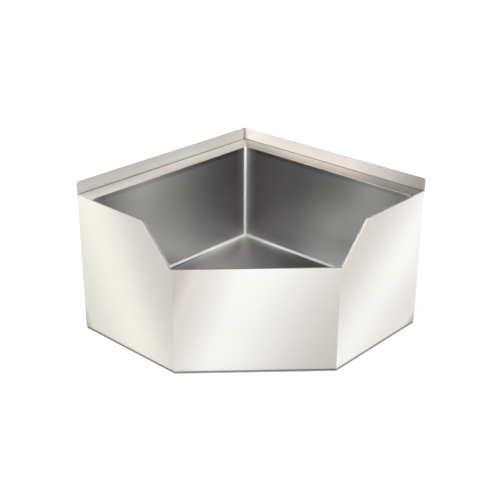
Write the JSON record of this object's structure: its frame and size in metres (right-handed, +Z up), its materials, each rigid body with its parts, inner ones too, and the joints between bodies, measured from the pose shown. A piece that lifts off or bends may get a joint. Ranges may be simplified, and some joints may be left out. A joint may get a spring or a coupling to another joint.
{
  "type": "corner mop sink",
  "caption": "Floor-standing stainless corner mop sink with a drop front, rear upstands, a deep coved bowl, a waste outlet and a lift-out strainer basket.",
  "frame": {"origin": "on the floor, in the middle of the part's box", "axes": "+X to the right seen from the front, +Y to the back, where the two walls of the room meet, +Z up"},
  "size_m": [1.0058, 0.7772, 0.4705],
  "materials": {
    "satin_sheet": "satin",
    "bowl_sheet": "satin",
    "frame_steel": "mill",
    "drain_steel": "polished",
    "nut_metal": "as cast",
    "plated_tube": "polished",
    "black_rubber": "matt",
    "washer_fibre": "matt"
  },
  "bodies": {
    "sink": {"left_deck": "satin_sheet", "right_deck": "satin_sheet", "left_splash": "satin_sheet", "right_splash": "satin_sheet", "left_side_apron": "satin_sheet", "right_side_apron": "satin_sheet", "front_apron": "satin_sheet", "left_rear_bowl_wall": "bowl_sheet", "right_rear_bowl_wall": "bowl_sheet", "left_side_bowl_wall": "bowl_sheet", "right_side_bowl_wall": "bowl_sheet", "front_bowl_wall": "bowl_sheet", "bowl_floor_pan": "bowl_sheet", "left_floor_stiffener": "frame_steel", "right_floor_stiffener": "frame_steel", "rear_corner_leg": "frame_steel", "rear_leg_foot": "frame_steel", "left_base_rail": "frame_steel", "right_base_rail": "frame_steel", "drain_body": "drain_steel", "drain_locknut": "nut_metal", "coupling_nut": "nut_metal", "tailpiece": "plated_tube", "drain_gasket": "black_rubber", "tailpiece_washer": "black_rubber", "friction_washer": "washer_fibre"},
    "strainer": {"strainer_basket": "drain_steel", "strainer_plate": "drain_steel", "basket_knob": "drain_steel"}
  },
  "joints": [
    {"name": "basket_lift", "type": "slide", "parent": "sink", "child": "strainer", "axis": [0, 0, 1], "range_m": [0, 0.36]}
  ]
}
